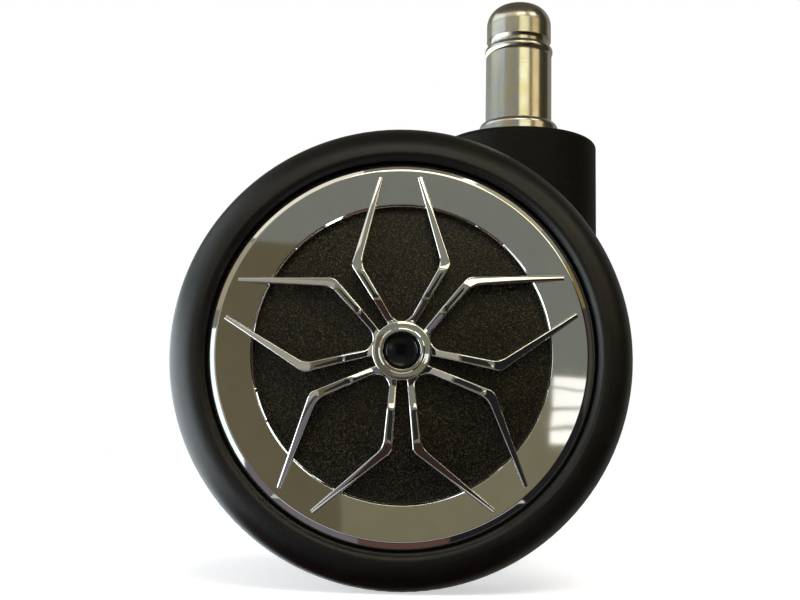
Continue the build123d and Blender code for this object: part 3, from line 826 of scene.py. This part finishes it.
class CASTOR_OT_stem(bpy.types.Operator):
    """Gives the stem, the axle and the rings on them their turned and plated steel"""
    bl_idname = "castor.stem"
    bl_label = "Stem and axle"

    def finish(self, name, stem):
        """Plated steel with yellow clouds and fine turning marks."""
        finish, tree, shader, place = new_finish(name)
        shader.inputs["Metallic"].default_value = 1.0
        cloud = grain(tree, place, stem.cloud, detail=3.0)
        colour_by(tree, shader, cloud, (stem.silver, stem.straw), STEEL_SPAN)
        roughen_by(tree, shader, cloud, stem)
        drawn_out = vector_math(tree, "MULTIPLY", place, stem.drawn_out)["Vector"]
        bump(tree, shader, grain(tree, drawn_out, stem.turning), stem.turning_depth)
        return finish

    def execute(self, context):
        stem = context.scene.castor_stem
        dress(["stem", "axle"], self.finish("plated_steel", stem))
        rings = ["grip_ring", "stem_clip", "right_axle_clip", "left_axle_clip"]
        dress(rings, self.finish("spring_steel", stem))
        return {"FINISHED"}


class CASTOR_OT_bearings(bpy.types.Operator):
    """Gives the sleeve, bushes and washers their smooth bearing plastic"""
    bl_idname = "castor.bearings"
    bl_label = "Bearings"

    def execute(self, context):
        bearings = [
            "stem_sleeve", "right_thrust_washer", "left_thrust_washer", "right_wheel_bush", "left_wheel_bush",
        ]
        dress(bearings, moulded_finish("bearing_plastic", context.scene.castor_bearing))
        return {"FINISHED"}


def area_lamp(name, place, size, watts, colour):
    """Soft rectangular lamp, turned to the axle, that no reflection shows."""
    lamp = bpy.data.lights.new(name, "AREA")
    lamp.shape = "RECTANGLE"
    lamp.size, lamp.size_y = size
    lamp.energy = watts
    lamp.color = colour
    turn = (AXLE - Vector(place)).to_track_quat("-Z", "Y").to_euler()
    made = add_object(name, lamp, place, turn)
    made.visible_glossy = False


def sheet(name, sides, ends, height=0.0):
    """Level rectangle between two places along X and two along Y."""
    left, right = sides
    front, back = ends
    mesh = bpy.data.meshes.new(name)
    corners = [(left, front, height), (right, front, height), (right, back, height), (left, back, height)]
    mesh.from_pydata(corners, [], [(0, 1, 2, 3)])
    return mesh


def seen_directly(tree):
    """Factor that is 1 for what the camera sees, also in gloss and through glass."""
    ray = node(tree, "ShaderNodeLightPath").outputs
    seen = ray["Is Camera Ray"]
    for other in ("Is Glossy Ray", "Is Transmission Ray"):
        seen = node(tree, "ShaderNodeMath", {0: seen, 1: ray[other]}, operation="MAXIMUM").outputs[0]
    return seen


def glowing(name, strength=1.0):
    """Starts a material that glows and gives it back with its node tree and the socket of its colour."""
    finish = bpy.data.materials.new(name)
    finish.use_nodes = True
    tree = finish.node_tree
    tree.nodes.clear()
    glow = node(tree, "ShaderNodeEmission", {"Strength": strength})
    node(tree, "ShaderNodeOutputMaterial", {"Surface": glow.outputs["Emission"]})
    return finish, tree, glow.inputs["Color"]


def on_the_way(ends, step, steps):
    """Number that lies step of steps on the way from one end to the other."""
    return ends[0] + (ends[1] - ends[0]) * step / steps


class CASTOR_OT_studio(bpy.types.Operator):
    """Sets up the floor, the light, the glowing cards that paint reflections, and the camera"""
    bl_idname = "castor.studio"
    bl_label = "Studio"

    def floor(self, studio):
        """Large pale floor, white to the camera where nothing shades it, that takes the castor's shadow."""
        reach = (-studio.floor_reach, studio.floor_reach)
        mesh = sheet("studio_floor", reach, reach)
        finish, tree, shader, place = new_finish("studio_floor")
        shader.inputs["Roughness"].default_value = 0.8
        shader.inputs["Specular IOR Level"].default_value = 0.1
        cloud = grain(tree, place, studio.floor_cloud)
        colour_by(tree, shader, cloud, (studio.floor_dark, studio.floor_light))
        glow = node(tree, "ShaderNodeEmission", {"Strength": studio.floor_glow})
        dark = node(tree, "ShaderNodeEmission", {"Strength": 0.0})
        extra = node(tree, "ShaderNodeMixShader", {
            0: seen_directly(tree), 1: dark.outputs["Emission"], 2: glow.outputs["Emission"],
        })
        both = node(tree, "ShaderNodeAddShader", {0: shader.outputs["BSDF"], 1: extra.outputs["Shader"]})
        tree.links.new(both.outputs["Shader"], tree.nodes["Material Output"].inputs["Surface"])
        mesh.materials.append(finish)
        made = add_object("studio_floor", mesh, (AXLE.x, 0, FLOOR_HEIGHT))
        made.visible_glossy = False

    def place_painted_reflection(self, name, mesh, finish):
        """Puts a glowing piece of the tent round the castor, where only reflections show it, as a painted
        reflection.
        """
        mesh.materials.append(finish)
        made = add_object(name, mesh, AXLE)
        made.visible_camera = False
        made.visible_diffuse = False
        made.visible_shadow = False
        made.visible_transmission = False

    def tent(self, studio):
        """Round glowing tent, seen only in reflections, that paints what plating mirrors: dark below but for
        a brown band, grey above, dim on top.
        """
        mesh = bpy.data.meshes.new("painted_reflection_tent")
        ball = bmesh.new()
        around, upward = TENT_SEGMENTS
        bmesh.ops.create_uvsphere(ball, u_segments=around, v_segments=upward, radius=studio.tent)
        ball.to_mesh(mesh)
        ball.free()
        finish, tree, colour = glowing("painted_reflection_tent")
        height = node(tree, "ShaderNodeSeparateXYZ", {0: own_place(tree)}).outputs["Z"]
        share = node(tree, "ShaderNodeMapRange", {
            "Value": height, "From Min": -studio.tent, "From Max": studio.tent,
        }).outputs["Result"]
        tree.links.new(ramp(tree, share, TENT_STOPS), colour)
        self.place_painted_reflection("painted_reflection_tent", mesh, finish)

    def card(self, studio, card):
        """Puts one glowing card of painted reflection on the tent, curved as the tent is."""
        reach = (CARD_REACH - LAYER_STEP * card.layer) * studio.tent
        columns = 1 + int((card.bearings[1] - card.bearings[0]) / CARD_CELL)
        rows = 1 + int((card.heights[1] - card.heights[0]) / CARD_CELL)
        corners = []
        for row in range(rows + 1):
            up = radians(on_the_way(card.heights, row, rows))
            for column in range(columns + 1):
                turn = radians(on_the_way(card.bearings, column, columns))
                corners.append((reach * sin(turn) * cos(up), -reach * cos(turn) * cos(up), reach * sin(up)))
        faces = []
        for row in range(rows):
            for column in range(columns):
                low = row * (columns + 1) + column
                high = low + columns + 1
                faces.append((low, low + 1, high + 1, high))
        mesh = bpy.data.meshes.new(card.name)
        mesh.from_pydata(corners, [], faces)
        finish, tree, colour = glowing(card.name, card.strength)
        deeper = tuple(CARD_DEEPER * part for part in card.colour)
        cloud = grain(tree, own_place(tree), CARD_CLOUD)
        tree.links.new(between(tree, cloud, NOISE_SPAN, (deeper, card.colour)), colour)
        self.place_painted_reflection(card.name, mesh, finish)

    def table(self, studio):
        """Glowing strip, a painted reflection of pale floor in front of the castor, that the lower edges of
        the plating mirror.
        """
        sides = (-studio.strip_half, studio.strip_half)
        ends = (-studio.strip_far, -studio.strip_near)
        mesh = sheet("card_table", sides, ends, FLOOR_HEIGHT - AXLE.z + studio.strip_lift)
        finish, tree, colour = glowing("card_table")
        cloud = grain(tree, own_place(tree), studio.strip_cloud)
        shades = (studio.strip_dark, studio.strip_light)
        tree.links.new(between(tree, cloud, NOISE_SPAN, shades), colour)
        self.place_painted_reflection("card_table", mesh, finish)

    def world(self, context, studio):
        """White backdrop, also in gloss and glass, and a softer light on everything else."""
        world = bpy.data.worlds.new("studio")
        context.scene.world = world
        world.use_nodes = True
        tree = world.node_tree
        tree.nodes.clear()
        soft = node(tree, "ShaderNodeBackground", {"Color": (1, 1, 1, 1), "Strength": studio.ambient})
        white = node(tree, "ShaderNodeBackground", {"Color": (1, 1, 1, 1), "Strength": 1.0})
        mixed = node(tree, "ShaderNodeMixShader", {
            0: seen_directly(tree), 1: soft.outputs["Background"], 2: white.outputs["Background"],
        })
        node(tree, "ShaderNodeOutputWorld", {"Surface": mixed.outputs["Shader"]})

    def lamps(self):
        """A warm lamp over the front and a cool one from the left."""
        area_lamp(
            "lamp_front", place=(0.10, -0.45, 0.50), size=(0.40, 0.25), watts=2.5, colour=(1.0, 0.90, 0.76)
        )
        area_lamp(
            "lamp_left", place=(-0.60, -0.10, 0.10), size=(0.30, 0.25), watts=1.5, colour=(0.82, 0.92, 1.0)
        )

    def camera(self, context, studio):
        """Camera where the photograph was taken from."""
        lens = bpy.data.cameras.new("camera")
        lens.lens = studio.lens
        lens.sensor_width = SENSOR_WIDTH
        lens.clip_start = NEAR_CLIP
        context.scene.camera = add_object("camera", lens, studio.camera_place, Euler(studio.camera_turn))

    def execute(self, context):
        studio = context.scene.castor_studio
        self.floor(studio)
        self.tent(studio)
        for card in CARDS:
            self.card(studio, card)
        self.table(studio)
        self.world(context, studio)
        self.lamps()
        self.camera(context, studio)
        context.scene.view_settings.view_transform = "Standard"
        return {"FINISHED"}


class CASTOR_PT_sidebar(bpy.types.Panel):
    """Lists the castor's pieces and their settings"""
    bl_label = "Office chair castor"
    bl_idname = "CASTOR_PT_sidebar"
    bl_space_type = "VIEW_3D"
    bl_region_type = "UI"
    bl_category = "Castor"

    def draw(self, context):
        for step, settings in STEPS:
            box = self.layout.box()
            box.operator(step.bl_idname)
            group = getattr(context.scene, settings)
            for name in group.__annotations__:
                box.prop(group, name)


SETTINGS = {
    "castor_tread": CastorTreadSettings,
    "castor_face": CastorFaceSettings,
    "castor_trim": CastorTrimSettings,
    "castor_cap": CastorCapSettings,
    "castor_housing": CastorHousingSettings,
    "castor_stem": CastorStemSettings,
    "castor_bearing": CastorBearingSettings,
    "castor_studio": CastorStudioSettings,
}
STEPS = (
    (CASTOR_OT_tyres, "castor_tread"),
    (CASTOR_OT_wheel_faces, "castor_face"),
    (CASTOR_OT_trim, "castor_trim"),
    (CASTOR_OT_hub_caps, "castor_cap"),
    (CASTOR_OT_housing, "castor_housing"),
    (CASTOR_OT_stem, "castor_stem"),
    (CASTOR_OT_bearings, "castor_bearing"),
    (CASTOR_OT_studio, "castor_studio"),
)
CLASSES = (*SETTINGS.values(), *(step for step, _ in STEPS), CASTOR_PT_sidebar)


def register():
    for item in CLASSES:
        bpy.utils.register_class(item)
    for name, group in SETTINGS.items():
        setattr(bpy.types.Scene, name, PointerProperty(type=group))


def unregister():
    for name in SETTINGS:
        delattr(bpy.types.Scene, name)
    for item in reversed(CLASSES):
        bpy.utils.unregister_class(item)


def main():
    register()
    bpy.ops.castor.tyres()
    bpy.ops.castor.wheel_faces()
    bpy.ops.castor.trim()
    bpy.ops.castor.hub_caps()
    bpy.ops.castor.housing()
    bpy.ops.castor.stem()
    bpy.ops.castor.bearings()
    bpy.ops.castor.studio()


if __name__ == "__main__":
    main()
